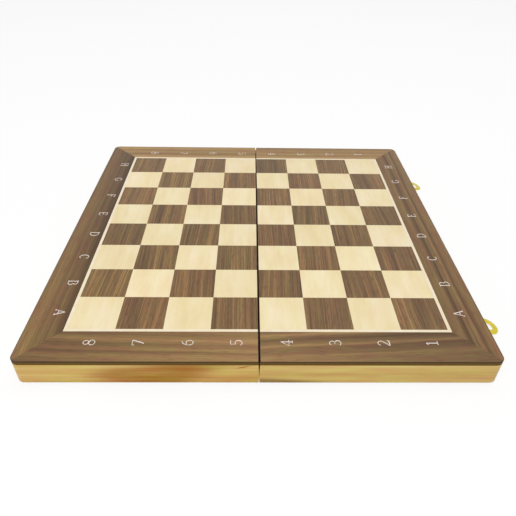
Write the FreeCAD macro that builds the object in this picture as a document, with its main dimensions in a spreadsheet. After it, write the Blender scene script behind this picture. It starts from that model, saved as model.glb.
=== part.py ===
import FreeCAD, Part
import math
import os
import re

import Sketcher

# Folding chess board: two shallow trays, hinged along the seam, that carry half of the playing
# surface each. x runs to the right, y from the front to the rear, z up. The origin is on the
# table, in the middle of the seam, and the hinge knuckles just touch the table.
# Every half is drawn to the right of the seam, with z counted from its rim, and the left half is
# the same drawing turned half a turn about z.

# Driving sizes in millimetres: name, value, meaning. A value in other units says so.
SIZES = (
    ("square", 38.8, "side of one playing square"),
    ("files", 4, "squares from the seam to the side, a count"),
    ("ranks", 8, "squares along the seam, a count"),
    ("line_width", 2.8, "maple line round the field"),
    ("border_width", 32.1, "walnut border outside the line"),
    ("seam_gap", 1.2, "between the halves when the board lies open"),
    ("closed_gap", 0.3, "between the rims when the box is shut"),
    ("half_height", 24.5, "rim to playing surface"),
    ("panel_thickness", 3.0, "core board under the veneer"),
    ("veneer_thickness", 0.6, "squares, line and border"),
    ("veneer_joint", 0.05, "knife joint between two pieces of veneer"),
    ("veneer_arris", 0.4, "rounding of the border's upper outer edge"),
    ("corner_radius", 6.5, "outer corners in plan"),
    ("rail_thickness", 10, "frame under the panel"),
    ("rail_arris", 0.8, "rounding of the rails' lower outer edge"),
    ("felt_thickness", 1.0, "lining under the panel"),
    ("felt_clearance", 0.3, "between the lining and the rails"),
    ("hinge_inset", 90.1, "end of the seam to the middle of a hinge"),
    ("hinge_length", 30, "along the seam"),
    ("leaf_width", 8.5, "hinge axis to the leaf's far edge"),
    ("leaf_thickness", 1.0, "let into the rim until it is flush"),
    ("knuckle_diameter", 2.8, "hinge barrel"),
    ("knuckle_gap", 0.3, "between neighbouring knuckles on one pin"),
    ("knuckle_relief", 0.3, "room round a knuckle"),
    ("hinge_pin_diameter", 1.4, "hinge pin"),
    ("running_clearance", 0.04, "pin to a knuckle that turns on it, on the radius"),
    ("latch_inset", 62.1, "end of the wall to the middle of a latch"),
    ("latch_height", 5, "rim to the latch pin"),
    ("latch_sheet", 0.8, "thickness of the stamped latch plates"),
    ("latch_plate_width", 20, "along the wall"),
    ("latch_plate_rise", 13, "latch pin to the plate's upper edge"),
    ("latch_plate_radius", 2.5, "corners of the latch and catch plates"),
    ("latch_knuckle_diameter", 3.0, "latch barrel"),
    ("latch_pin_diameter", 1.4, "latch pin"),
    ("loop_neck", 9, "width of the loop at its knuckle"),
    ("loop_reach", 14.25, "latch pin to the middle of the ring"),
    ("loop_ring", 19, "diameter of the ring outside"),
    ("loop_window", 9, "diameter of the ring's window"),
    ("loop_blend", 2, "rounding where the neck meets the ring"),
    ("loop_sheet", 0.9, "thickness of the loop"),
    ("loop_float", 0.15, "between the tip of the lowered loop and the table"),
    ("catch_plate_width", 27, "along the wall"),
    ("catch_plate_height", 9, "across the wall"),
    ("stud_neck", 5, "diameter of the catch stud under its head"),
    ("stud_head", 7.4, "diameter of the catch stud's head"),
    ("stud_stand", 2.4, "plate to the underside of the stud's head"),
    ("stud_crown", 1.2, "height of the stud's head"),
    ("stud_chamfer", 0.6, "at the edge of the stud's head"),
)

NAMES = {name for name, _, _ in SIZES}
START, END, CENTRE = range(1, 4)
H_AXIS, V_AXIS = range(-1, -3, -1)
TINY = 1e-7

# Places that follow from the driving sizes, in the drawing of one half.
INNER_X = "(seam_gap / 2)"
FIELD_X = f"({INNER_X} + files * square)"
LINE_X = f"({FIELD_X} + line_width)"
OUTER_X = f"({LINE_X} + border_width)"
FIELD_Y = "(ranks * square / 2)"
LINE_Y = f"({FIELD_Y} + line_width)"
OUTER_Y = f"({LINE_Y} + border_width)"
VENEER_Z = "(half_height - veneer_thickness)"
PANEL_Z = f"({VENEER_Z} - panel_thickness)"
FELT_Z = f"({PANEL_Z} - felt_thickness)"
AXIS_Z = "(-closed_gap / 2)"
LATCH_X = f"({OUTER_X} + latch_knuckle_diameter / 2 + knuckle_relief)"
CATCH_Z = "(loop_reach - latch_height - closed_gap)"
NECK_ROOM = "(loop_neck / 2 + knuckle_gap)"

# Height of the rims over the table, and how far below level a loop hangs with its tip down on it.
RIM_Z = "(knuckle_diameter / 2 + closed_gap / 2)"
LOOP_FALL = f"({RIM_Z} + latch_height - loop_sheet / 2 - loop_float)"
LOOP_DROOP = f"asin({LOOP_FALL} / (loop_reach + loop_ring / 2))"

doc = FreeCAD.newDocument("FoldingBoard")
sheet = doc.addObject("Spreadsheet::Sheet", "Sizes")
pieces = []


def fill_sheet():
    """Write every driving size into the sheet, under its own name."""
    for row, (name, value, meaning) in enumerate(SIZES, start=1):
        sheet.set(f"A{row}", name)
        sheet.set(f"B{row}", str(value))
        sheet.setAlias(f"B{row}", name)
        sheet.set(f"C{row}", meaning)
    doc.recompute()


def formula(text):
    """The formula with each size's name pointing at its cell."""
    return re.sub(r"[a-z_]+", lambda m: f"Sizes.{m[0]}" if m[0] in NAMES else m[0], text)


def amount(text):
    """What a formula comes to, in millimetres."""
    return float(sheet.evalExpression(formula(text)))


def bind(target, prop, text):
    """Tie one property of an object to a formula of the sizes."""
    target.setExpression(prop, formula(text))


def new_body(label, turned=False, at=("0", "0", RIM_Z)):
    """An empty body, in the drawing's place or turned half a turn about z into the left half."""
    body = doc.addObject("PartDesign::Body", label)
    body.Label = label
    body.AllowCompound = True
    spin = FreeCAD.Rotation(FreeCAD.Vector(0, 0, 1), 180 if turned else 0)
    body.Placement = FreeCAD.Placement(FreeCAD.Vector(), spin)
    for axis, text in zip("xyz", at):
        bind(body, f"Placement.Base.{axis}", text)
    pieces.append(body)
    return body


def datum(body, role):
    """One of a body's own origin planes or axes."""
    return next(f for f in body.Origin.OriginFeatures if f.Role == role)


def new_sketch(body, name, plane, shift=("0", "0", "0")):
    """An empty sketch on an origin plane, shifted along the plane's own x, y and normal."""
    sketch = body.newObject("Sketcher::SketchObject", f"{body.Name}_{name}")
    sketch.AttachmentSupport = [(datum(body, plane), "")]
    sketch.MapMode = "FlatFace"
    for axis, text in zip("xyz", shift):
        bind(sketch, f"AttachmentOffset.Base.{axis}", text)
    return sketch


def locate(sketch, edge, point, x_text, y_text):
    """Hold a point of a sketch at two formulas, counted from the sketch's origin."""
    for kind, axis, text in (("DistanceX", V_AXIS, x_text), ("DistanceY", H_AXIS, y_text)):
        value = amount(text)
        if abs(value) < TINY:
            sketch.addConstraint(Sketcher.Constraint("PointOnObject", edge, point, axis))
            continue
        ends = (H_AXIS, START, edge, point) if value > 0 else (edge, point, H_AXIS, START)
        index = sketch.addConstraint(Sketcher.Constraint(kind, *ends, abs(value)))
        bind(sketch, f"Constraints[{index}]", text if value > 0 else f"-({text})")


def outward_arc(start, end, radius):
    """Arc from start to end, counter-clockwise and under half a circle."""
    chord = end - start
    normal = FreeCAD.Vector(-chord.y, chord.x, 0).normalize()
    middle = (start + end) / 2
    centre = middle + normal * math.sqrt(max(radius**2 - (chord.Length / 2) ** 2, 0))
    return Part.Arc(start, centre - normal * radius, end)


def add_loop(sketch, corners):
    """Closed loop, counter-clockwise. A corner is (x, y), or (x, y, radius) where an arc leaves it."""
    first = sketch.GeometryCount
    spots = [FreeCAD.Vector(amount(c[0]), amount(c[1]), 0) for c in corners]
    for corner, start, end in zip(corners, spots, spots[1:] + spots[:1]):
        arc = len(corner) == 3
        edge = outward_arc(start, end, amount(corner[2])) if arc else Part.LineSegment(start, end)
        sketch.addGeometry(edge)
    count = len(corners)
    for i, corner in enumerate(corners):
        follower = first + (i + 1) % count
        sketch.addConstraint(Sketcher.Constraint("Coincident", first + i, END, follower, START))
        locate(sketch, first + i, START, corner[0], corner[1])
        if len(corner) == 3:
            radius = amount(corner[2])
            index = sketch.addConstraint(Sketcher.Constraint("Radius", first + i, radius))
            bind(sketch, f"Constraints[{index}]", corner[2])


def add_circle(sketch, x_text, y_text, radius_text):
    """Full circle about a located centre."""
    centre = FreeCAD.Vector(amount(x_text), amount(y_text), 0)
    radius = amount(radius_text)
    edge = sketch.addGeometry(Part.Circle(centre, FreeCAD.Vector(0, 0, 1), radius))
    locate(sketch, edge, CENTRE, x_text, y_text)
    index = sketch.addConstraint(Sketcher.Constraint("Radius", edge, radius))
    bind(sketch, f"Constraints[{index}]", radius_text)


def rectangle(x_low, y_low, x_high, y_high):
    """Corners of an upright rectangle."""
    return [(x_low, y_low), (x_high, y_low), (x_high, y_high), (x_low, y_high)]


def pad(body, sketch, length, symmetric=False):
    """Raise a sketch along its normal, or to both sides of its plane."""
    feature = body.newObject("PartDesign::Pad", f"{sketch.Name}_pad")
    feature.Profile = sketch
    feature.SideType = "Symmetric" if symmetric else "One side"
    bind(feature, "Length", length)
    doc.recompute()
    return feature


def checked_cut(body, feature, before):
    """Make sure that a cut has taken something away."""
    doc.recompute()
    if not body.Shape.Volume < before - TINY:
        raise RuntimeError(f"{feature.Name} cuts nothing")
    return feature


def cut_through(body, sketch):
    """Cut a sketch right through the body, to both sides of its plane."""
    before = body.Shape.Volume
    feature = body.newObject("PartDesign::Pocket", f"{sketch.Name}_cut")
    feature.Profile = sketch
    feature.SideType = "Symmetric"
    feature.Type = "ThroughAll"
    return checked_cut(body, feature, before)


def cut_upwards(body, sketch, depth):
    """Cut a sketch on the underside up into the body."""
    before = body.Shape.Volume
    feature = body.newObject("PartDesign::Pocket", f"{sketch.Name}_cut")
    feature.Profile = sketch
    feature.Reversed = True
    bind(feature, "Length", depth)
    return checked_cut(body, feature, before)


def turn(body, sketch, axis):
    """Revolve a sketch about one of its own axes."""
    feature = body.newObject("PartDesign::Revolution", f"{sketch.Name}_turn")
    feature.Profile = sketch
    feature.ReferenceAxis = (sketch, [axis])
    doc.recompute()
    return feature


def bore_out(body, sketch, axis):
    """Cut the revolved sketch out of the body."""
    before = body.Shape.Volume
    feature = body.newObject("PartDesign::Groove", f"{sketch.Name}_bore")
    feature.Profile = sketch
    feature.ReferenceAxis = (sketch, [axis])
    return checked_cut(body, feature, before)


def repeat(body, feature, steps):
    """Repeat a feature in rows of rows: each step is (origin axis, pitch, count)."""
    grid = body.newObject("PartDesign::MultiTransform", f"{feature.Name}_grid")
    grid.Originals = [feature]
    rows = []
    for axis, pitch, count in steps:
        row = doc.addObject("PartDesign::LinearPattern", f"{feature.Name}_row")
        body.addObject(row)
        row.Direction = (datum(body, axis), [""])
        row.Mode = "Spacing"
        bind(row, "Offset", pitch)
        bind(row, "Occurrences", count)
        rows.append(row)
    grid.Transformations = rows
    body.Tip = grid
    doc.recompute()
    return grid


def round_edges(body, base, radius, wanted):
    """Fillet the edges of a feature whose middle point passes a test."""
    def middle(edge):
        return edge.valueAt((edge.FirstParameter + edge.LastParameter) / 2)

    chosen = [f"Edge{i}" for i, e in enumerate(base.Shape.Edges, start=1) if wanted(middle(e))]
    feature = body.newObject("PartDesign::Fillet", f"{base.Name}_round")
    feature.Base = (base, chosen)
    bind(feature, "Radius", radius)
    doc.recompute()
    return feature


def frame_strip(edge, width, ease="0"):
    """Plan of one mitred strip of a frame round the half: near, far or side.

    The strip's outer face follows the half's outline, and the mitre halves the round corner.
    ease draws the inner face back from what it meets.
    """
    back = "(corner_radius * (1 - sqrt(0.5)))"
    inner_x, inner_y = f"{OUTER_X} - ({width} - {ease})", f"{OUTER_Y} - ({width} - {ease})"
    near_inner = (inner_x, f"-({inner_y})")
    far_inner = (inner_x, inner_y)
    near_mitre = (f"{OUTER_X} - {back}", f"-({OUTER_Y} - {back})")
    far_mitre = (f"{OUTER_X} - {back}", f"{OUTER_Y} - {back}")
    plans = {
        "near": [
            (INNER_X, f"-{OUTER_Y}"),
            (f"{OUTER_X} - corner_radius", f"-{OUTER_Y}", "corner_radius"),
            near_mitre,
            near_inner,
            (INNER_X, f"-({inner_y})"),
        ],
        "far": [
            (INNER_X, inner_y),
            far_inner,
            (*far_mitre, "corner_radius"),
            (f"{OUTER_X} - corner_radius", OUTER_Y),
            (INNER_X, OUTER_Y),
        ],
        "side": [
            (*near_mitre, "corner_radius"),
            (OUTER_X, f"-({OUTER_Y} - corner_radius)"),
            (OUTER_X, f"{OUTER_Y} - corner_radius", "corner_radius"),
            far_mitre,
            far_inner,
            near_inner,
        ],
    }
    return plans[edge]


def on_outer_face(edge):
    """Test for points on the outer face of a strip, its share of the round corner included."""
    reach = amount("corner_radius") - TINY
    if edge == "side":
        return lambda p: p.x > amount(OUTER_X) - reach
    return lambda p: abs(p.y) > amount(OUTER_Y) - reach


def make_panel(label, turned):
    """Core board: flush with the rails, rounded at the two outer corners."""
    body = new_body(label, turned)
    plan = new_sketch(body, "plan", "XY_Plane", ("0", "0", PANEL_Z))
    corners = [
        (INNER_X, f"-{OUTER_Y}"),
        (f"{OUTER_X} - corner_radius", f"-{OUTER_Y}", "corner_radius"),
        (OUTER_X, f"-({OUTER_Y} - corner_radius)"),
        (OUTER_X, f"{OUTER_Y} - corner_radius", "corner_radius"),
        (f"{OUTER_X} - corner_radius", OUTER_Y),
        (INNER_X, OUTER_Y),
    ]
    add_loop(plan, corners)
    pad(body, plan, "panel_thickness")


def make_rail(label, turned, edge):
    """Front, rear or side rail: mitred at the outer corners, its lower outer edge eased."""
    body = new_body(label, turned)
    plan = new_sketch(body, "plan", "XY_Plane")
    add_loop(plan, frame_strip(edge, "rail_thickness"))
    bar = pad(body, plan, PANEL_Z)
    outside = on_outer_face(edge)
    round_edges(body, bar, "rail_arris", lambda p: abs(p.z) < TINY and outside(p))


def hinge_middle(sign):
    """Place of the front (-) or rear hinge along the seam."""
    return f"({sign}({OUTER_Y} - hinge_inset))"


def hinge_span(sign):
    """Lower and upper end of the front (-) or rear hinge, along the seam."""
    middle = hinge_middle(sign)
    return f"({middle} - hinge_length / 2)", f"({middle} + hinge_length / 2)"


def make_hinge_rail(label, turned):
    """Rail along the seam, let in between the front and rear rails and mortised for the hinges."""
    body = new_body(label, turned)
    plan = new_sketch(body, "plan", "XY_Plane")
    end = f"({OUTER_Y} - rail_thickness)"
    add_loop(plan, rectangle(INNER_X, f"-{end}", f"{INNER_X} + rail_thickness", end))
    pad(body, plan, PANEL_Z)
    mortise = new_sketch(body, "mortise", "XY_Plane")
    relief = new_sketch(body, "relief", "XY_Plane", ("0", "0", AXIS_Z))
    relief_radius = "(knuckle_diameter / 2 + knuckle_relief)"
    for sign in ("-", ""):
        low, high = hinge_span(sign)
        add_loop(mortise, rectangle("0", low, "leaf_width", high))
        add_loop(relief, rectangle("0", f"{low} - knuckle_relief", relief_radius, f"{high} + knuckle_relief"))
    cut_upwards(body, mortise, "leaf_thickness")
    bore_out(body, relief, "V_Axis")


def make_felt(label, turned):
    """Felt lining on the underside of the panel, inside the rails."""
    body = new_body(label, turned)
    plan = new_sketch(body, "plan", "XY_Plane", ("0", "0", FELT_Z))
    room = "(rail_thickness + felt_clearance)"
    end = f"({OUTER_Y} - {room})"
    add_loop(plan, rectangle(f"{INNER_X} + {room}", f"-{end}", f"{OUTER_X} - {room}", end))
    pad(body, plan, "felt_thickness")


def make_squares(label, turned, dark):
    """All squares of one colour: a diagonal pair of squares, repeated over the field."""
    body = new_body(label, turned)
    plan = new_sketch(body, "plan", "XY_Plane", ("0", "0", VENEER_Z))
    for column, rank in ((1, 0), (0, 1)) if dark else ((0, 0), (1, 1)):
        x_low = f"{INNER_X} + {column} * square + veneer_joint / 2"
        y_low = f"-{FIELD_Y} + {rank} * square + veneer_joint / 2"
        side = "(square - veneer_joint)"
        add_loop(plan, rectangle(x_low, y_low, f"{x_low} + {side}", f"{y_low} + {side}"))
    pair = pad(body, plan, "veneer_thickness")
    repeat(body, pair, (("X_Axis", "2 * square", "files / 2"), ("Y_Axis", "2 * square", "ranks / 2")))


def make_line(label, turned):
    """Maple line: two short strips between the seam and one long strip at the side."""
    body = new_body(label, turned)
    plan = new_sketch(body, "plan", "XY_Plane", ("0", "0", VENEER_Z))
    ease = "veneer_joint / 2"
    low_y, high_y = f"{FIELD_Y} + {ease}", f"{LINE_Y} - {ease}"
    end_x = f"{FIELD_X} - {ease}"
    add_loop(plan, rectangle(INNER_X, f"-({high_y})", end_x, f"-({low_y})"))
    add_loop(plan, rectangle(INNER_X, low_y, end_x, high_y))
    add_loop(plan, rectangle(f"{FIELD_X} + {ease}", f"-({high_y})", f"{LINE_X} - {ease}", high_y))
    pad(body, plan, "veneer_thickness")


def make_border(label, turned, edge):
    """One mitred strip of the border, its upper outer edge eased."""
    body = new_body(label, turned)
    plan = new_sketch(body, "plan", "XY_Plane", ("0", "0", VENEER_Z))
    add_loop(plan, frame_strip(edge, "border_width", "veneer_joint / 2"))
    strip = pad(body, plan, "veneer_thickness")
    outside = on_outer_face(edge)
    top = amount("half_height")
    round_edges(body, strip, "veneer_arris", lambda p: abs(p.z - top) < TINY and outside(p))


def make_hinge_leaf(label, turned, sign, middle_knuckle):
    """Hinge leaf with rolled knuckles: the middle one, which turns on the pin, or the two end ones."""
    body = new_body(label, turned, ("0", hinge_middle(sign), RIM_Z))
    plan = new_sketch(body, "plan", "XY_Plane")
    half_length = "(hinge_length / 2)"
    add_loop(plan, rectangle("0", f"-{half_length}", "leaf_width", half_length))
    pad(body, plan, "leaf_thickness")
    barrel = new_sketch(body, "barrel", "XZ_Plane")
    add_circle(barrel, "0", AXIS_Z, "knuckle_diameter / 2")
    pad(body, barrel, "hinge_length", symmetric=True)
    eye = new_sketch(body, "eye", "XZ_Plane")
    play = "running_clearance" if middle_knuckle else "0"
    add_circle(eye, "0", AXIS_Z, f"hinge_pin_diameter / 2 + {play}")
    cut_through(body, eye)
    gaps = new_sketch(body, "gaps", "XY_Plane")
    reach = "(knuckle_diameter / 2 + knuckle_relief)"
    third, play = "hinge_length / 6", "knuckle_gap / 2"
    if middle_knuckle:
        inner, beyond = f"({third} - {play})", f"({half_length} + knuckle_relief)"
        add_loop(gaps, rectangle(f"-{reach}", f"-{beyond}", reach, f"-{inner}"))
        add_loop(gaps, rectangle(f"-{reach}", inner, reach, beyond))
    else:
        inner = f"({third} + {play})"
        add_loop(gaps, rectangle(f"-{reach}", f"-{inner}", reach, inner))
    cut_through(body, gaps)


def make_pin(label, radius, length, at):
    """Plain round pin along y, its middle at the given place."""
    pin = doc.addObject("Part::Cylinder", label)
    pin.Label = label
    lying = FreeCAD.Rotation(FreeCAD.Vector(1, 0, 0), -90)
    pin.Placement = FreeCAD.Placement(FreeCAD.Vector(), lying)
    bind(pin, "Radius", radius)
    bind(pin, "Height", length)
    x_text, y_text, z_text = at
    bind(pin, "Placement.Base.x", x_text)
    bind(pin, "Placement.Base.y", f"{y_text} - ({length}) / 2")
    bind(pin, "Placement.Base.z", z_text)
    pieces.append(pin)


def latch_middle(sign):
    """Place of the front (-) or rear latch along the wall."""
    return f"({sign}({OUTER_Y} - latch_inset))"


def plate_outline(width, low, high, radius):
    """Upright plate on the wall, seen from outside, all four corners rounded."""
    side = f"({width} / 2)"
    return [
        (f"-({side} - {radius})", low),
        (f"{side} - {radius}", low, radius),
        (side, f"{low} + {radius}"),
        (side, f"{high} - {radius}", radius),
        (f"{side} - {radius}", high),
        (f"-({side} - {radius})", high, radius),
        (f"-{side}", f"{high} - {radius}"),
        (f"-{side}", f"{low} + {radius}", radius),
    ]


def shield_outline(width, low, high, radius):
    """Upright plate with a straight lower edge and two rounded upper corners."""
    side = f"({width} / 2)"
    return [
        (f"-{side}", low),
        (side, low),
        (side, f"{high} - {radius}", radius),
        (f"{side} - {radius}", high),
        (f"-({side} - {radius})", high, radius),
        (f"-{side}", f"{high} - {radius}"),
    ]


def make_latch_plate(label, sign):
    """Stamped plate on the right wall, its lower edge rolled into the two end knuckles."""
    body = new_body(label, at=("0", latch_middle(sign), RIM_Z))
    face = new_sketch(body, "face", "YZ_Plane", ("0", "0", OUTER_X))
    top = "(latch_height + latch_plate_rise)"
    add_loop(face, shield_outline("latch_plate_width", "latch_height", top, "latch_plate_radius"))
    pad(body, face, "latch_sheet")
    barrel = new_sketch(body, "barrel", "XZ_Plane")
    add_circle(barrel, LATCH_X, "latch_height", "latch_knuckle_diameter / 2")
    pad(body, barrel, "latch_plate_width", symmetric=True)
    eye = new_sketch(body, "eye", "XZ_Plane")
    add_circle(eye, LATCH_X, "latch_height", "latch_pin_diameter / 2")
    cut_through(body, eye)
    gap = new_sketch(body, "gap", "YZ_Plane")
    reach = "(latch_knuckle_diameter / 2 + knuckle_relief)"
    low, high = f"latch_height - {reach}", f"latch_height + {reach}"
    add_loop(gap, rectangle(f"-{NECK_ROOM}", low, NECK_ROOM, high))
    cut_through(body, gap)


def make_latch_loop(label, sign):
    """Swinging loop: a knuckle on the pin, a neck and a ring with a round window."""
    body = new_body(label, at=(LATCH_X, latch_middle(sign), f"{RIM_Z} + latch_height"))
    body.Placement = FreeCAD.Placement(FreeCAD.Vector(), FreeCAD.Rotation(FreeCAD.Vector(0, 1, 0), 1))
    bind(body, "Placement.Rotation.Angle", LOOP_DROOP)
    ring = new_sketch(body, "ring", "XY_Plane")
    add_circle(ring, "loop_reach", "0", "loop_ring / 2")
    pad(body, ring, "loop_sheet", symmetric=True)
    neck = new_sketch(body, "neck", "XY_Plane")
    add_loop(neck, rectangle("0", "-loop_neck / 2", "loop_reach", "loop_neck / 2"))
    blank = pad(body, neck, "loop_sheet", symmetric=True)
    side, reach = amount("loop_neck / 2"), amount("loop_reach")

    def throat(p):
        return abs(abs(p.y) - side) < TINY and TINY < p.x < reach and abs(p.z) < TINY

    round_edges(body, blank, "loop_blend", throat)
    window = new_sketch(body, "window", "XY_Plane")
    add_circle(window, "loop_reach", "0", "loop_window / 2")
    cut_through(body, window)
    barrel = new_sketch(body, "barrel", "XZ_Plane")
    add_circle(barrel, "0", "0", "latch_knuckle_diameter / 2")
    pad(body, barrel, "loop_neck", symmetric=True)
    eye = new_sketch(body, "eye", "XZ_Plane")
    add_circle(eye, "0", "0", "latch_pin_diameter / 2 + running_clearance")
    cut_through(body, eye)


def make_catch_plate(label, sign):
    """Stamped plate on the left wall that carries the catch stud."""
    body = new_body(label, True, ("0", latch_middle(sign), RIM_Z))
    face = new_sketch(body, "face", "YZ_Plane", ("0", "0", OUTER_X))
    low, high = f"({CATCH_Z} - catch_plate_height / 2)", f"({CATCH_Z} + catch_plate_height / 2)"
    add_loop(face, plate_outline("catch_plate_width", low, high, "latch_plate_radius"))
    pad(body, face, "latch_sheet")


def make_catch_stud(label, sign):
    """Turned stud with a chamfered head, which the ring of the loop goes over."""
    body = new_body(label, True, ("0", latch_middle(sign), RIM_Z))
    section = new_sketch(body, "section", "XZ_Plane", (f"{OUTER_X} + latch_sheet", CATCH_Z, "0"))
    neck, head = "stud_neck / 2", "stud_head / 2"
    top = "(stud_stand + stud_crown)"
    corners = [
        ("0", "0"),
        (top, "0"),
        (top, f"{head} - stud_chamfer"),
        (f"{top} - stud_chamfer", head),
        ("stud_stand", head),
        ("stud_stand", neck),
        ("0", neck),
    ]
    add_loop(section, corners)
    turn(body, section, "H_Axis")


def make_half(side, turned):
    """Wooden tray, veneers and lining of one half."""
    front, rear = ("far", "near") if turned else ("near", "far")
    edges = (("front", front), ("rear", rear), ("side", "side"))
    make_panel(f"{side}_panel", turned)
    for name, edge in edges:
        make_rail(f"{side}_{name}_rail", turned, edge)
    make_hinge_rail(f"{side}_hinge_rail", turned)
    make_felt(f"{side}_felt", turned)
    make_squares(f"{side}_dark_squares", turned, dark=True)
    make_squares(f"{side}_light_squares", turned, dark=False)
    make_line(f"{side}_line", turned)
    for name, edge in edges:
        make_border(f"{side}_{name}_border", turned, edge)


def make_hinges():
    """Two butt hinges: leaves on both halves, and a pin that the right leaf holds."""
    for name, sign in (("front", "-"), ("rear", "")):
        make_hinge_leaf(f"right_{name}_hinge_leaf", False, sign, middle_knuckle=False)
        make_hinge_leaf(f"left_{name}_hinge_leaf", True, sign, middle_knuckle=True)
        middle = ("0", hinge_middle(sign), "knuckle_diameter / 2")
        make_pin(f"{name}_hinge_pin", "hinge_pin_diameter / 2", "hinge_length", middle)


def make_latches():
    """Two latches: plate, pin and loop on the right wall, catch on the left wall."""
    for name, sign in (("front", "-"), ("rear", "")):
        make_latch_plate(f"{name}_latch_plate", sign)
        make_latch_loop(f"{name}_latch_loop", sign)
        middle = (LATCH_X, latch_middle(sign), f"{RIM_Z} + latch_height")
        make_pin(f"{name}_latch_pin", "latch_pin_diameter / 2", "latch_plate_width", middle)
        make_catch_plate(f"{name}_catch_plate", sign)
        make_catch_stud(f"{name}_catch_stud", sign)


def check_document():
    """Stop if any object of the document failed, or a piece has no sound solid."""
    doc.recompute()
    for item in doc.Objects:
        if "Invalid" in item.State or "Error" in item.State:
            raise RuntimeError(f"{item.Name} failed: {item.State}")
    for piece in pieces:
        if piece.Shape.isNull() or not piece.Shape.isValid() or not piece.Shape.Solids:
            raise RuntimeError(f"{piece.Label} has no sound solid")


def write_pieces():
    """Write each piece's shape to a file of its own."""
    os.makedirs("parts", exist_ok=True)
    for piece in pieces:
        piece.Shape.exportStep(os.path.join("parts", f"{piece.Label}.step"))
        print(f"{piece.Label}: {len(piece.Shape.Solids)} solids, {piece.Shape.Volume:.1f} mm3")


fill_sheet()
make_half("right", turned=False)
make_half("left", turned=True)
make_hinges()
make_latches()
check_document()
write_pieces()
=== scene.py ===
"""Looks of the folding chess board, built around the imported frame.

Sizes in the classes are in millimetres, and meshes are in metres. x runs to the right, y from the
front to the rear and z up, with the origin on the table in the middle of the seam.
"""

from __future__ import annotations

import logging
import math
from collections.abc import Iterable
from dataclasses import dataclass
from enum import Enum

import bmesh
import bpy
from bpy.types import ColorRamp, Material, Mesh, Node, NodeSocket, NodeTree, Object, Scene
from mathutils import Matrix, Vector

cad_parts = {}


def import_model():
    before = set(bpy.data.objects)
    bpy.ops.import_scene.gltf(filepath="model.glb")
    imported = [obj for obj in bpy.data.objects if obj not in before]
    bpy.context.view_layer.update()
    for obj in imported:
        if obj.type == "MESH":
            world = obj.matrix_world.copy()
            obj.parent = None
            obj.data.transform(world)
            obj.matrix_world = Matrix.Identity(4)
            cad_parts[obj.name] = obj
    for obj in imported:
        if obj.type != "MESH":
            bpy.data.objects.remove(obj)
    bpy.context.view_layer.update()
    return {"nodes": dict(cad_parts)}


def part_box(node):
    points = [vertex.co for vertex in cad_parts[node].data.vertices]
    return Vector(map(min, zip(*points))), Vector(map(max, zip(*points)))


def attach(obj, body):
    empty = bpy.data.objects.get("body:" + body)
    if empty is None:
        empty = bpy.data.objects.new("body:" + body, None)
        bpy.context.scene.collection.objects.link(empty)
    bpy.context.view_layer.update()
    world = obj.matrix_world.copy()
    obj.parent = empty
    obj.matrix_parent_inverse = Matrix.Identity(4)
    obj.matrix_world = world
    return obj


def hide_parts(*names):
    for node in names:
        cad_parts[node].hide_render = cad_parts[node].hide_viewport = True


LOG = logging.getLogger("folding_board")
MM = 0.001
MERGE_REACH = 1e-6
FLAT_ANGLE = math.radians(1)
SHARP_ANGLE = math.radians(32)
ROUND_PROFILE = 0.5

# Curve between sRGB levels and linear light.
LEVELS = 255
SRGB_TOE = 0.04045
SRGB_SLOPE = 12.92
SRGB_OFFSET = 0.055
SRGB_POWER = 2.4

# Octaves of noise in a soft and in a fine figure of wood, and the weight of each finer one.
SOFT = 1.0
FINE = 3.0
GRAIN_ROUGHNESS = 0.55

# Hue input at which a colour stays as it is.
SAME_HUE = 0.5

# Slopes and rises are given for this many millimetres.
SLOPE_SPAN = 100.0

Nodes = dict[str, Object]
Spot = tuple[float, float]
Stops = tuple[tuple[float, str], ...]


class Side(Enum):
    """The two halves of the board."""

    RIGHT = "right"
    LEFT = "left"

    @property
    def body(self) -> str:
        """Name of the body that the half belongs to."""
        return f"{self.value}_half"

    @property
    def sign(self) -> int:
        """Sign of x on this half."""
        return 1 if self is Side.RIGHT else -1


class End(Enum):
    """The two ends of the seam."""

    FRONT = "front"
    REAR = "rear"


class Grain(Enum):
    """Direction that the grain of a strip runs in, as the axes along it and across it."""

    ACROSS = ("X", "Y")
    ALONG = ("Y", "X")


class Weight(Enum):
    """Widths of the printed strokes, as shares of a stem."""

    STEM = 1.0
    HAIR = 0.7


@dataclass(frozen=True)
class BoardSizes:
    """Plan sizes of the board, the same as in the solids."""

    square: float = 38.8
    seam_gap: float = 1.2
    line: float = 2.8
    border: float = 32.1
    corner: float = 6.5
    ranks: int = 8

    @property
    def inner_x(self) -> float:
        """Middle of the seam to the first square."""
        return self.seam_gap / 2

    @property
    def outer_x(self) -> float:
        """Middle of the seam to the side wall."""
        return self.inner_x + self.outer_y

    @property
    def outer_y(self) -> float:
        """Middle of the board to the front or rear wall."""
        return self.ranks * self.square / 2 + self.line + self.border


BOARD = BoardSizes()


def linear(code: str) -> tuple[float, float, float, float]:
    """Turn an sRGB hex colour into linear light.

    Args:
        code: Colour as #rrggbb.

    Returns:
        Red, green, blue and alpha.
    """
    levels = [int(code[i : i + 2], 16) / LEVELS for i in (1, 3, 5)]
    red, green, blue = (
        v / SRGB_SLOPE if v <= SRGB_TOE else ((v + SRGB_OFFSET) / (1 + SRGB_OFFSET)) ** SRGB_POWER
        for v in levels
    )
    return red, green, blue, 1.0


def grey(level: float) -> str:
    """Hex grey that comes out as a level in linear light."""
    shade = round(LEVELS * ((1 + SRGB_OFFSET) * level ** (1 / SRGB_POWER) - SRGB_OFFSET))
    return f"#{shade:02x}{shade:02x}{shade:02x}"


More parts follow.
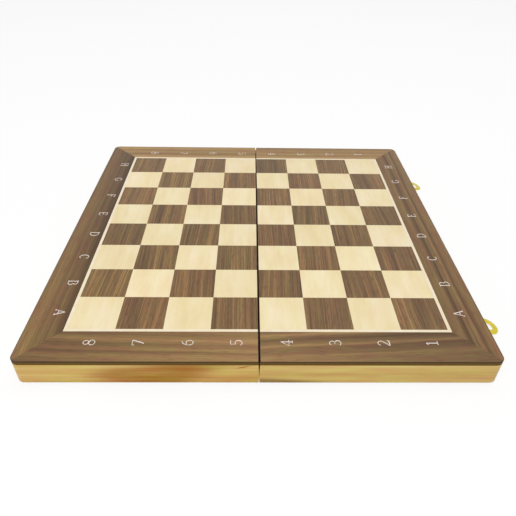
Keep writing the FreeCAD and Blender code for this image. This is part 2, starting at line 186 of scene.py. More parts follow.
def add_node(tree: NodeTree, kind: str, inputs: dict | None = None, **settings: object) -> Node:
    """Add one node with its settings and links.

    Args:
        tree: Tree that gets the node.
        kind: Blender's name for the type of node.
        inputs: By name or place among the inputs in use: a value, a hex colour, a socket, a node,
            whose first output is meant, or a list of nodes for an input that takes several.
        settings: Properties of the node. stops fills a colour ramp with places and hex colours.

    Returns:
        The new node.
    """
    node = tree.nodes.new(kind)
    for name, value in settings.items():
        if name == "stops":
            fill_ramp(node.color_ramp, value)
        else:
            setattr(node, name, value)
    for key, value in (inputs or {}).items():
        used = [s for s in node.inputs if s.enabled]
        socket = used[key] if isinstance(key, int) else next(s for s in used if s.name == key)
        for item in value if isinstance(value, list) else [value]:
            if isinstance(item, Node):
                item = next(s for s in item.outputs if s.enabled)
            if isinstance(item, NodeSocket):
                tree.links.new(item, socket)
            else:
                socket.default_value = linear(item) if str(item).startswith("#") else item
    return node


def fill_ramp(ramp: ColorRamp, stops: Stops) -> None:
    """Give a colour ramp its stops.

    Args:
        ramp: Ramp of a new node, with its two own stops.
        stops: Places from 0 to 1 with hex colours, in order.
    """
    while len(ramp.elements) < len(stops):
        ramp.elements.new(1.0)
    for element, (place, code) in zip(ramp.elements, stops):
        element.position = place
        element.color = linear(code)


def streaks(tree: NodeTree, place: Node, width: float, length: float, detail: float = 2.0) -> Node:
    """Noise that is drawn out along y, for the figure of wood.

    Args:
        tree: Tree of the material.
        place: Node that gives the place in millimetres, with y along the grain.
        width: Size across the grain.
        length: Size along the grain.
        detail: Octaves of finer noise.

    Returns:
        Node whose first output is around one half.
    """
    scale = (1 / width, 1 / length, 1 / width)
    drawn = add_node(tree, "ShaderNodeVectorMath", {0: place, 1: scale}, operation="MULTIPLY")
    inputs = {"Vector": drawn, "Scale": 1.0, "Detail": detail, "Roughness": GRAIN_ROUGHNESS}
    return add_node(tree, "ShaderNodeTexNoise", inputs)


@dataclass(frozen=True)
class Finish:
    """A material, named for what it is and how its surface was made."""

    name: str

    def material(self) -> Material:
        """Make the material, or give it again.

        Returns:
            The material with its node tree.
        """
        known = bpy.data.materials.get(self.name)
        if known:
            return known
        made = bpy.data.materials.new(self.name)
        made.use_nodes = True
        tree = made.node_tree
        tree.nodes.clear()
        spot = add_node(tree, "ShaderNodeTexCoord").outputs["Object"]
        place = add_node(tree, "ShaderNodeVectorMath", {0: spot, "Scale": 1 / MM}, operation="SCALE")
        add_node(tree, "ShaderNodeOutputMaterial", {"Surface": self.surface(tree, place)})
        return made

    def surface(self, tree: NodeTree, place: Node) -> Node:
        """Build the shader.

        Args:
            tree: Tree of the new material.
            place: Node that gives the place on the object in millimetres.

        Returns:
            The shader node.
        """
        raise NotImplementedError

    def dress(self, piece: Object) -> None:
        """Give a piece this material and report it.

        Args:
            piece: Node of the frame, or a piece of the scene.
        """
        piece.data.materials.clear()
        piece.data.materials.append(self.material())
        LOG.info("%s: %s", piece.name, self.name)


@dataclass(frozen=True, kw_only=True)
class Lacquered(Finish):
    """Wood under satin lacquer: the gloss follows the grain, which stands in light relief."""

    stops: Stops
    roughness: float = 0.42
    gloss_spread: float = 0.06
    specular: float = 0.3
    relief: float = 0.25
    relief_depth: float = 0.05
    fleck: Spot = (5.0, 30.0)
    fleck_hue: float = 0.038

    def flecked(self, tree: NodeTree, laid: Node, colour: Node) -> Node:
        """Let the hue drift in soft flecks along the grain, redder and greener by turns.

        Args:
            tree: Tree of the material.
            laid: Node of the place in millimetres, with y along the grain.
            colour: Node of the figure's colour.

        Returns:
            Node of the new colour.
        """
        drift = streaks(tree, laid, *self.fleck, detail=SOFT)
        red, green = SAME_HUE - self.fleck_hue, SAME_HUE + self.fleck_hue
        hue = add_node(tree, "ShaderNodeMapRange", {"Value": drift, "To Min": red, "To Max": green})
        return add_node(tree, "ShaderNodeHueSaturation", {"Color": colour, "Hue": hue})

    def lacquer(self, tree: NodeTree, colour: Node, gloss: Node, height: Node) -> Node:
        """Build the shader over a finished figure.

        Args:
            tree: Tree of the material.
            colour: Node of the wood's colour.
            gloss: Node from 0 to 1, rough where it is high.
            height: Node from 0 to 1 for the relief of the grain.

        Returns:
            The shader node.
        """
        low, high = self.roughness - self.gloss_spread, self.roughness + self.gloss_spread
        rough = add_node(tree, "ShaderNodeMapRange", {"Value": gloss, "To Min": low, "To Max": high})
        raised = {"Strength": self.relief, "Distance": self.relief_depth * MM, "Height": height}
        inputs = {
            "Base Color": colour,
            "Roughness": rough,
            "Specular IOR Level": self.specular,
            "Normal": add_node(tree, "ShaderNodeBump", raised),
        }
        return add_node(tree, "ShaderNodeBsdfPrincipled", inputs)


@dataclass(frozen=True, kw_only=True)
class Veneer(Lacquered):
    """Sliced veneer with short open pores along its grain, and painted shade along the seam."""

    pore_colour: str
    pore_depth: float = 0.45
    pore: Spot = (0.7, 9.0)
    pore_start: float = 0.56
    pore_end: float = 0.68
    streak: Spot = (1.2, 110.0)
    # Painted shade of the seam gap: its colour, the width of the dark band, the width of its fade, and how
    # far to the rear it stays even before it narrows.
    sawn_colour: str = "#1a1006"
    sawn_width: float = 0.2
    sawn_fade: float = 0.25
    sawn_even: float = 40.0

    def sawn(self, tree: NodeTree, place: Node, colour: Node) -> Node:
        """Paint the shade of the seam gap along the seam edge, evenly in front and less and less to the rear.

        Args:
            tree: Tree of the material.
            place: Node that gives the place in millimetres.
            colour: Node of the figure's colour.

        Returns:
            Node of the new colour.
        """
        split = add_node(tree, "ShaderNodeSeparateXYZ", {0: place}).outputs
        away = add_node(tree, "ShaderNodeMath", {0: split["X"]}, operation="ABSOLUTE")
        ends = {"From Min": self.sawn_even, "From Max": BOARD.outer_y}
        whole = self.sawn_width + self.sawn_fade
        lost = add_node(tree, "ShaderNodeMapRange", {"Value": split["Y"], **ends, "To Max": whole})
        spot = add_node(tree, "ShaderNodeMath", {0: away, 1: lost})
        dark = BOARD.inner_x + self.sawn_width
        band = {"Value": spot, "From Min": dark + self.sawn_fade, "From Max": dark}
        share = add_node(tree, "ShaderNodeMapRange", band, interpolation_type="SMOOTHSTEP")
        tones = {"Factor": share, "A": colour, "B": self.sawn_colour}
        return add_node(tree, "ShaderNodeMix", tones, data_type="RGBA")

    def pored(self, tree: NodeTree, laid: Node, colour: Node, streak: Node) -> Node:
        """Open the pores in a figure and lacquer it.

        Args:
            tree: Tree of the material.
            laid: Node of the place in millimetres, with y along the grain.
            colour: Node of the figure's colour.
            streak: Node of the streaks, which the gloss follows.

        Returns:
            The shader node.
        """
        grain = streaks(tree, laid, *self.pore, detail=SOFT)
        band = {"Value": grain, "From Min": self.pore_start, "From Max": self.pore_end}
        share = add_node(tree, "ShaderNodeMapRange", {**band, "To Max": self.pore_depth})
        tones = {"Factor": share, "A": colour, "B": self.pore_colour}
        filled = add_node(tree, "ShaderNodeMix", tones, data_type="RGBA")
        solid = add_node(tree, "ShaderNodeMath", {0: 1.0, 1: share}, operation="SUBTRACT")
        return self.lacquer(tree, filled, streak, solid)


@dataclass(frozen=True, kw_only=True)
class SquareVeneer(Veneer):
    """Squares of veneer: each is cut from another place of its sheet, with its grain along y."""

    band: Spot = (8.0, 260.0)
    band_share: float = 0.5
    tone_spread: float = 0.16
    hue_spread: float = 0.012
    turn_spread: float = 4.0

    def surface(self, tree: NodeTree, place: Node) -> Node:
        """Grain that starts afresh on each square, with the square's own tone and turn.

        Args:
            tree: Tree of the new material.
            place: Node that gives the place on the object in millimetres.

        Returns:
            The shader node.
        """
        side = add_node(tree, "ShaderNodeVectorMath", {0: place}, operation="SIGN")
        joined = {0: side, 1: (-BOARD.inner_x, 0.0, 0.0), 2: place}
        field = add_node(tree, "ShaderNodeVectorMath", joined, operation="MULTIPLY_ADD")
        grid = (BOARD.square, BOARD.square, BOARD.square)
        count = add_node(tree, "ShaderNodeVectorMath", {0: field, 1: grid}, operation="DIVIDE")
        cell = add_node(tree, "ShaderNodeVectorMath", {0: count}, operation="FLOOR")
        chance = add_node(tree, "ShaderNodeTexWhiteNoise", {"Vector": cell}).outputs["Color"]
        luck = add_node(tree, "ShaderNodeSeparateColor", {0: chance})
        sheet = BOARD.square * BOARD.ranks
        offset = add_node(tree, "ShaderNodeVectorMath", {0: chance, "Scale": sheet}, operation="SCALE")
        cut = add_node(tree, "ShaderNodeVectorMath", {0: place, 1: offset})
        spread = math.radians(self.turn_spread)
        slant = {"Value": luck.outputs["Blue"], "To Min": -spread, "To Max": spread}
        turn = add_node(tree, "ShaderNodeMapRange", slant)
        pose = {"Vector": cut, "Angle": turn}
        laid = add_node(tree, "ShaderNodeVectorRotate", pose, rotation_type="Z_AXIS")
        band = streaks(tree, laid, *self.band)
        streak = streaks(tree, laid, *self.streak, detail=FINE)
        figure = add_node(tree, "ShaderNodeMix", {"Factor": self.band_share, "A": streak, "B": band})
        colour = add_node(tree, "ShaderNodeValToRGB", {0: figure}, stops=self.stops)
        low, high = 1 - self.tone_spread / 2, 1 + self.tone_spread / 2
        shade = {"Value": luck.outputs["Red"], "To Min": low, "To Max": high}
        value = add_node(tree, "ShaderNodeMapRange", shade)
        red, green = SAME_HUE - self.hue_spread / 2, SAME_HUE + self.hue_spread / 2
        cast = {"Value": luck.outputs["Green"], "To Min": red, "To Max": green}
        hue = add_node(tree, "ShaderNodeMapRange", cast)
        tones = {"Color": colour, "Value": value, "Hue": hue}
        toned = add_node(tree, "ShaderNodeHueSaturation", tones)
        flecked = self.flecked(tree, laid, toned)
        # The seam edge of the squares gets painted shade of the seam gap.
        return self.pored(tree, laid, self.sawn(tree, place, flecked), streak)


@dataclass(frozen=True, kw_only=True)
class Stringing(Veneer):
    """Narrow strips of veneer, quite plain."""

    def surface(self, tree: NodeTree, place: Node) -> Node:
        """Faint clouds of tone, with painted shade at the end by the seam.

        Args:
            tree: Tree of the new material.
            place: Node that gives the place on the object in millimetres.

        Returns:
            The shader node.
        """
        cloud = streaks(tree, place, *self.streak)
        colour = add_node(tree, "ShaderNodeValToRGB", {0: cloud}, stops=self.stops)
        # The end by the seam gets painted shade of the seam gap.
        return self.pored(tree, place, self.sawn(tree, place, colour), cloud)


@dataclass(frozen=True, kw_only=True)
class BorderVeneer(Veneer):
    """A border strip of crown-cut veneer, with bands that run along it and wander a little.

    bands holds millimetres from the outer edge with tones from 0 to 1. In a hundred millimetres
    along the strip, slope is how far the bands drift across it and rise how much lighter it gets.
    """

    grain: Grain
    bands: tuple[Spot, ...]
    slope: float = 0.0
    rise: float = 0.0
    wander: float = 2.2
    wander_length: float = 110.0
    streak_share: float = 0.34
    seed: float = 0.0
    edge_colour: str = "#2c1b06"
    edge_width: float = 1.1

    def surface(self, tree: NodeTree, place: Node) -> Node:
        """Tone by the distance from the outer edge, broken up by streaks and pores.

        Args:
            tree: Tree of the new material.
            place: Node that gives the place on the object in millimetres.

        Returns:
            The shader node.
        """
        split = add_node(tree, "ShaderNodeSeparateXYZ", {0: place})
        along, across = (split.outputs[axis] for axis in self.grain.value)
        reach = BOARD.outer_x if self.grain is Grain.ALONG else BOARD.outer_y
        middle = add_node(tree, "ShaderNodeMath", {0: across}, operation="ABSOLUTE")
        depth = add_node(tree, "ShaderNodeMath", {0: reach, 1: middle}, operation="SUBTRACT")
        flat = add_node(tree, "ShaderNodeCombineXYZ", {0: depth, 1: along, 2: self.seed})
        drift = streaks(tree, flat, BOARD.border, self.wander_length, detail=SOFT)
        swing = {"Value": drift, "To Min": -self.wander, "To Max": self.wander}
        shift = add_node(tree, "ShaderNodeMapRange", swing)
        drifted = add_node(tree, "ShaderNodeMath", {0: depth, 1: shift})
        slanted = {0: along, 1: self.slope / SLOPE_SPAN, 2: drifted}
        spot = add_node(tree, "ShaderNodeMath", slanted, operation="MULTIPLY_ADD")
        share = add_node(tree, "ShaderNodeMath", {0: spot, 1: BOARD.border}, operation="DIVIDE")
        tone = add_node(tree, "ShaderNodeValToRGB", {0: share}, stops=self.tones())
        laid = add_node(tree, "ShaderNodeCombineXYZ", {0: spot, 1: along, 2: self.seed})
        streak = streaks(tree, laid, *self.streak, detail=FINE)
        figure = add_node(tree, "ShaderNodeMix", {"Factor": self.streak_share, "A": tone, "B": streak})
        lighter = {0: along, 1: self.rise / SLOPE_SPAN, 2: figure}
        toned = add_node(tree, "ShaderNodeMath", lighter, operation="MULTIPLY_ADD")
        colour = add_node(tree, "ShaderNodeValToRGB", {0: toned}, stops=self.stops)
        # The outer edge is darkened, and the seam edge gets painted shade of the seam gap.
        framed = self.sawn(tree, place, self.edged(tree, place, self.flecked(tree, laid, colour)))
        return self.pored(tree, laid, framed, streak)

    def tones(self) -> Stops:
        """Bands as the stops of a ramp in greys."""
        return tuple((spot / BOARD.border, grey(tone)) for spot, tone in self.bands)

    def edged(self, tree: NodeTree, place: Node, colour: Node) -> Node:
        """Darken the eased outer edge, round the corners too.

        Args:
            tree: Tree of the material.
            place: Node that gives the place in millimetres.
            colour: Node of the veneer's colour.

        Returns:
            Node of the new colour.
        """
        away = add_node(tree, "ShaderNodeVectorMath", {0: place}, operation="ABSOLUTE")
        back = (BOARD.corner - BOARD.outer_x, BOARD.corner - BOARD.outer_y, 0.0)
        plan = {0: away, 1: (1.0, 1.0, 0.0), 2: back}
        beyond = add_node(tree, "ShaderNodeVectorMath", plan, operation="MULTIPLY_ADD")
        outside = add_node(tree, "ShaderNodeVectorMath", {0: beyond, 1: (0.0, 0.0, 0.0)}, operation="MAXIMUM")
        reach = add_node(tree, "ShaderNodeVectorMath", {0: outside}, operation="LENGTH").outputs["Value"]
        band = {"Value": reach, "From Min": BOARD.corner - self.edge_width, "From Max": BOARD.corner}
        share = add_node(tree, "ShaderNodeMapRange", band, interpolation_type="SMOOTHSTEP")
        tones = {"Factor": share, "A": colour, "B": self.edge_colour}
        return add_node(tree, "ShaderNodeMix", tones, data_type="RGBA")


@dataclass(frozen=True)
class Stain:
    """A patch of heartwood on a rail: its middle along the rail and over the table, and its half sizes.

    slant is how far the patch rises in a hundred millimetres along the rail.
    """

    along: float
    height: float
    half_length: float
    half_height: float
    strength: float
    slant: float = 0.0


@dataclass(frozen=True, kw_only=True)
class RailPine(Lacquered):
    """Planed pine: quiet lines along the rail, with heartwood in places."""

    grain: Grain
    heart_colour: str
    stains: tuple[Stain, ...] = ()
    band: Spot = (9.0, 320.0)
    line: Spot = (1.6, 150.0)
    line_share: float = 0.22
    ragged: float = 0.9
    fuzz: float = 0.7
    seed: float = 0.0

    def surface(self, tree: NodeTree, place: Node) -> Node:
        """Soft bands and fine lines along the rail, darkened where there is heartwood.

        Args:
            tree: Tree of the new material.
            place: Node that gives the place on the object in millimetres.

        Returns:
            The shader node.
        """
        split = add_node(tree, "ShaderNodeSeparateXYZ", {0: place})
        along, across = (split.outputs[axis] for axis in self.grain.value)
        depth = add_node(tree, "ShaderNodeMath", {0: across, 1: self.seed})
        laid = add_node(tree, "ShaderNodeCombineXYZ", {0: split.outputs["Z"], 1: along, 2: depth})
        band = streaks(tree, laid, *self.band)
        line = streaks(tree, laid, *self.line, detail=FINE)
        figure = add_node(tree, "ShaderNodeMix", {"Factor": self.line_share, "A": band, "B": line})
        colour = add_node(tree, "ShaderNodeValToRGB", {0: figure}, stops=self.stops)
        for stain in self.stains:
            colour = self.stained(tree, laid, line, colour, stain)
        return self.lacquer(tree, self.flecked(tree, laid, colour), line, line)

    def stained(self, tree: NodeTree, laid: Node, line: Node, colour: Node, stain: Stain) -> Node:
        """Lay one patch of heartwood over the colour.

        Args:
            tree: Tree of the material.
            laid: Node that gives height, length along the rail and depth in millimetres.
            line: Node of the fine lines, which break up the patch.
            colour: Node of the colour so far.
            stain: The patch.

        Returns:
            Node of the new colour.
        """
        middle = (stain.height, stain.along, 0.0)
        away = add_node(tree, "ShaderNodeVectorMath", {0: laid, 1: middle}, operation="SUBTRACT")
        split = add_node(tree, "ShaderNodeSeparateXYZ", {0: away})
        rise = {0: split.outputs["Y"], 1: -stain.slant / SLOPE_SPAN, 2: split.outputs["X"]}
        level = add_node(tree, "ShaderNodeMath", rise, operation="MULTIPLY_ADD")
        leaning = add_node(tree, "ShaderNodeCombineXYZ", {0: level, 1: split.outputs["Y"]})
        shape = (1 / stain.half_height, 1 / stain.half_length, 0.0)
        scaled = add_node(tree, "ShaderNodeVectorMath", {0: leaning, 1: shape}, operation="MULTIPLY")
        length = add_node(tree, "ShaderNodeVectorMath", {0: scaled}, operation="LENGTH").outputs["Value"]
        waves = {0: line, 1: self.ragged, 2: length}
        wavy = add_node(tree, "ShaderNodeMath", waves, operation="MULTIPLY_ADD")
        rim = 1 + self.ragged / 2
        fade = {"Value": wavy, "From Min": rim + self.fuzz, "From Max": rim - self.fuzz}
        band = {**fade, "To Max": stain.strength}
        inside = add_node(tree, "ShaderNodeMapRange", band, interpolation_type="SMOOTHSTEP")
        tones = {"Factor": inside, "A": colour, "B": self.heart_colour}
        return add_node(tree, "ShaderNodeMix", tones, data_type="RGBA")


@dataclass(frozen=True, kw_only=True)
class Mottled(Finish):
    """A plain surface whose tone and gloss vary softly: stained edges, felt, print and brass."""

    dark: str
    light: str
    grit: float
    detail: float = 4.0
    roughness: float = 0.5
    gloss_spread: float = 0.1
    specular: float = 0.5
    metallic: float = 0.0
    sheen: float = 0.0
    relief: float = 0.0
    relief_depth: float = 0.1
    tone_ends: Spot = (0.35, 0.65)
    gloss_ends: Spot = (0.3, 0.7)

    def surface(self, tree: NodeTree, place: Node) -> Node:
        """Two tones mixed by a noise of the given grit, with gloss and relief from it.

        Args:
            tree: Tree of the new material.
            place: Node that gives the place on the object in millimetres.

        Returns:
            The shader node.
        """
        spots = {"Vector": place, "Scale": 1 / self.grit, "Detail": self.detail}
        noise = add_node(tree, "ShaderNodeTexNoise", spots)
        stops = tuple(zip(self.tone_ends, (self.dark, self.light)))
        colour = add_node(tree, "ShaderNodeValToRGB", {0: noise}, stops=stops)
        low, high = self.roughness - self.gloss_spread, self.roughness + self.gloss_spread
        start, end = self.gloss_ends
        band = {"Value": noise, "From Min": start, "From Max": end, "To Min": low, "To Max": high}
        raised = {"Strength": self.relief, "Distance": self.relief_depth * MM, "Height": noise}
        inputs = {
            "Base Color": colour,
            "Roughness": add_node(tree, "ShaderNodeMapRange", band),
            "Normal": add_node(tree, "ShaderNodeBump", raised),
            "Metallic": self.metallic,
            "Specular IOR Level": self.specular,
            "Sheen Weight": self.sheen,
        }
        return add_node(tree, "ShaderNodeBsdfPrincipled", inputs)


# Black walnut, sliced, sanded and lacquered satin: a warm greyed brown with fine dark lines along
# the grain, no two squares alike. Pores are about 0.1 mm wide, and are drawn coarser to show.
WALNUT_SQUARES = SquareVeneer(
    "walnut_veneer_satin_lacquer",
    stops=((0.34, "#4e3820"), (0.45, "#6c5131"), (0.55, "#82623b"), (0.66, "#a07c4b")),
    pore_colour="#3a2815",
    band_share=0.4,
    fleck_hue=0.024,
)

# Maple, sliced and lacquered satin: cream, nearly plain, with short faint flecks.
MAPLE_SQUARES = SquareVeneer(
    "maple_veneer_satin_lacquer",
    stops=((0.3, "#e8d4a2"), (0.5, "#eedcb0"), (0.7, "#f3e5c2")),
    pore_colour="#d2b67c",
    pore_depth=0.1,
    pore=(0.9, 5.0),
    streak=(4.5, 50.0),
    band=(16.0, 45.0),
    band_share=0.7,
    tone_spread=0.05,
    hue_spread=0.006,
    fleck_hue=0.018,
)

# Maple stringing: the same wood cut along the grain, a shade pinker and quite even.
MAPLE_LINE = Stringing(
    "maple_stringing_satin_lacquer",
    stops=((0.35, "#ecdcbc"), (0.65, "#f3e6cc")),
    pore_colour="#d9c49c",
    pore_depth=0.1,
    streak=(12.0, 12.0),
)

# Fibre board with a stained edge: an even olive brown, matt and slightly rough.
STAINED_EDGE = Mottled(
    "fibre_board_stained_edge", dark="#634a1d", light="#6c5225", grit=0.8, specular=0.05, relief=0.2
)

# Pressed wool felt: a deep matt green with a short nap.
GREEN_FELT = Mottled(
    "pressed_wool_felt",
    dark="#163522",
    light="#26523a",
    grit=0.6,
    roughness=0.92,
    gloss_spread=0.04,
    sheen=0.5,
    relief=0.8,
)

# Stamped sheet brass, tumbled bright: clear yellow with soft reflections and rounded edges.
BRIGHT_BRASS = Mottled(
    "stamped_brass_tumbled_bright",
    dark="#ccb82a",
    light="#d8c63c",
    grit=4.0,
    roughness=0.24,
    gloss_spread=0.05,
    metallic=1.0,
    relief=0.03,
)

# Turned brass screws: a browner yellow than the sheet they hold, smooth and a little dull.
SCREW_BRASS = Mottled(
    "turned_brass_screw",
    dark="#9a8024",
    light="#ac9232",
    grit=4.0,
    roughness=0.34,
    gloss_spread=0.04,
    metallic=1.0,
)

# Pale ink, pad printed under the lacquer: warm white and even.
PRINTED_INK = Mottled("pad_printed_pale_ink", dark="#e2d4c8", light="#eee3da", grit=0.8, roughness=0.45)

# The border's walnut, from the darkest line to the palest band.
WALNUT_TONES: Stops = (
    (0.2, "#49341d"),
    (0.38, "#6b5033"),
    (0.52, "#836540"),
    (0.66, "#9a794d"),
    (0.82, "#b28f5c"),
)

# Pine, from the resin lines to the palest sapwood, in one plank and in a paler one.
PINE_TONES: Stops = ((0.32, "#b08741"), (0.46, "#c6a154"), (0.58, "#d0ae62"), (0.7, "#dabd77"))
PALE_PINE_TONES: Stops = ((0.32, "#c3a05a"), (0.46, "#cfaf66"), (0.58, "#d6b871"), (0.7, "#dec481"))


def border(
    name: str, grain: Grain, seed: float, bands: tuple[Spot, ...], slope: float = 0.0, rise: float = 0.0
) -> BorderVeneer:
    """Walnut of one border strip: crown cut, lacquered satin, tan bands between darker ones.

    Args:
        name: The strip.
        grain: Direction of the strip.
        seed: Place on the log, a different one for each strip.
        bands: Millimetres from the outer edge with tones.
        slope: Drift of the bands across the strip in a hundred millimetres.
        rise: Gain of tone in a hundred millimetres along the strip.

    Returns:
        The finish.
    """
    return BorderVeneer(
        f"walnut_{name}_satin_lacquer",
        stops=WALNUT_TONES,
        pore_colour="#3c2912",
        pore_depth=0.3,
        pore=(0.7, 11.0),
        streak=(1.1, 130.0),
        grain=grain,
        bands=bands,
        slope=slope,
        rise=rise,
        specular=0.22,
        seed=seed,
    )


def pine(
    name: str,
    grain: Grain,
    seed: float,
    stains: tuple[Stain, ...] = (),
    tones: Stops = PINE_TONES,
    heart: str = "#9b6604",
) -> RailPine:
    """Pine of one rail: planed and lacquered, pale yellow with quiet lines.

    Args:
        name: The rail.
        grain: Direction of the rail.
        seed: Place in the plank, a different one for each rail.
        stains: Patches of heartwood.
        tones: Colours of the plank.
        heart: Colour of the heartwood.

    Returns:
        The finish.
    """
    return RailPine(
        f"pine_{name}_lacquer",
        stops=tones,
        heart_colour=heart,
        roughness=0.36,
        gloss_spread=0.05,
        specular=0.12,
        relief=0.12,
        grain=grain,
        seed=seed,
        stains=stains,
    )


def new_piece(name: str, mesh: Mesh, body: str) -> Object:
    """Put a finished mesh into the scene as a piece that rides on a body.

    Args:
        name: Name of the piece.
        mesh: Its mesh, in metres and in place.
        body: Body that carries it.

    Returns:
        The piece.
    """
    piece = bpy.data.objects.new(name, mesh)
    bpy.context.scene.collection.objects.link(piece)
    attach(piece, body)
    return piece


def open_copy(node: Object) -> bmesh.types.BMesh:
    """Copy a node's mesh with its loose triangles joined, ready to be reshaped.

    Args:
        node: Node of the frame.

    Returns:
        The copy.
    """
    shape = bmesh.new()
    shape.from_mesh(node.data)
    bmesh.ops.remove_doubles(shape, verts=shape.verts, dist=MERGE_REACH)
    bmesh.ops.dissolve_limit(shape, angle_limit=FLAT_ANGLE, verts=shape.verts, edges=shape.edges)
    return shape


def stand_in(node: Object, shape: bmesh.types.BMesh, manner: str, body: str) -> Object:
    """Let a reshaped copy stand in for its node.

    Args:
        node: Node of the frame.
        shape: The copy, which is used up.
        manner: Word for what was done to it, which ends its name.
        body: Body that carries it.

    Returns:
        The bare piece.
    """
    mesh = bpy.data.meshes.new(f"{node.name}_{manner}")
    shape.to_mesh(mesh)
    shape.free()
    mesh.shade_smooth()
    mesh.set_sharp_from_angle(angle=SHARP_ANGLE)
    piece = new_piece(mesh.name, mesh, body)
    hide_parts(node.name)
    return piece


def tumble(node: Object, body: str, width: float, segments: int) -> None:
    """Stand in for a brass node with a copy whose sharp edges are rounded over.

    Args:
        node: Node of the frame.
        body: Body that carries it.
        width: Width of the rounding in millimetres.
        segments: Facets across the rounding.
    """
    shape = open_copy(node)
    sharp = [e for e in shape.edges if e.is_manifold and e.calc_face_angle() > SHARP_ANGLE]
    rounding = {"offset": width * MM, "segments": segments, "profile": ROUND_PROFILE}
    bmesh.ops.bevel(shape, geom=sharp, affect="EDGES", clamp_overlap=True, **rounding)
    BRIGHT_BRASS.dress(stand_in(node, shape, "tumbled", body))


def middle_of(node: str) -> Vector:
    """Middle of a node's box, in metres."""
    low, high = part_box(node)
    return (low + high) / 2


class Recipe:
    """A tree of geometry nodes that is run on a base mesh, with named sizes going in."""

    def __init__(self, name: str, sizes: dict[str, float]) -> None:
        """Start the tree.

        Args:
            name: Name of the tree.
            sizes: Named inputs with their values in millimetres.
        """
        self.tree = bpy.data.node_groups.new(name, "GeometryNodeTree")
        face = self.tree.interface
        face.new_socket("Geometry", in_out="OUTPUT", socket_type="NodeSocketGeometry")
        face.new_socket("Geometry", in_out="INPUT", socket_type="NodeSocketGeometry")
        self.values: dict[str, float] = {}
        for size, value in sizes.items():
            socket = face.new_socket(size, in_out="INPUT", socket_type="NodeSocketFloat")
            self.values[socket.identifier] = value * MM
        self.entry = add_node(self.tree, "NodeGroupInput")

    def close(self, shape: Node, finish: Finish) -> None:
        """End the tree: real copies, in their material.

        Args:
            shape: Node of the finished geometry.
            finish: What it is made of.
        """
        real = add_node(self.tree, "GeometryNodeRealizeInstances", {"Geometry": shape})
        inputs = {"Geometry": real, "Material": finish.material()}
        painted = add_node(self.tree, "GeometryNodeSetMaterial", inputs)
        add_node(self.tree, "NodeGroupOutput", {"Geometry": painted})

    def run(self, base: Mesh) -> Mesh:
        """Run the tree and keep what it makes.

        Args:
            base: Mesh that goes in.

        Returns:
            The result as a plain mesh.
        """
        carrier = bpy.data.objects.new(base.name, base)
        bpy.context.scene.collection.objects.link(carrier)
        modifier = carrier.modifiers.new("recipe", "NODES")
        modifier.node_group = self.tree
        for identifier, value in self.values.items():
            modifier[identifier] = value
        view = bpy.context.evaluated_depsgraph_get()
        made = bpy.data.meshes.new_from_object(carrier.evaluated_get(view))
        carrier.modifiers.remove(modifier)
        bpy.data.objects.remove(carrier)
        return made


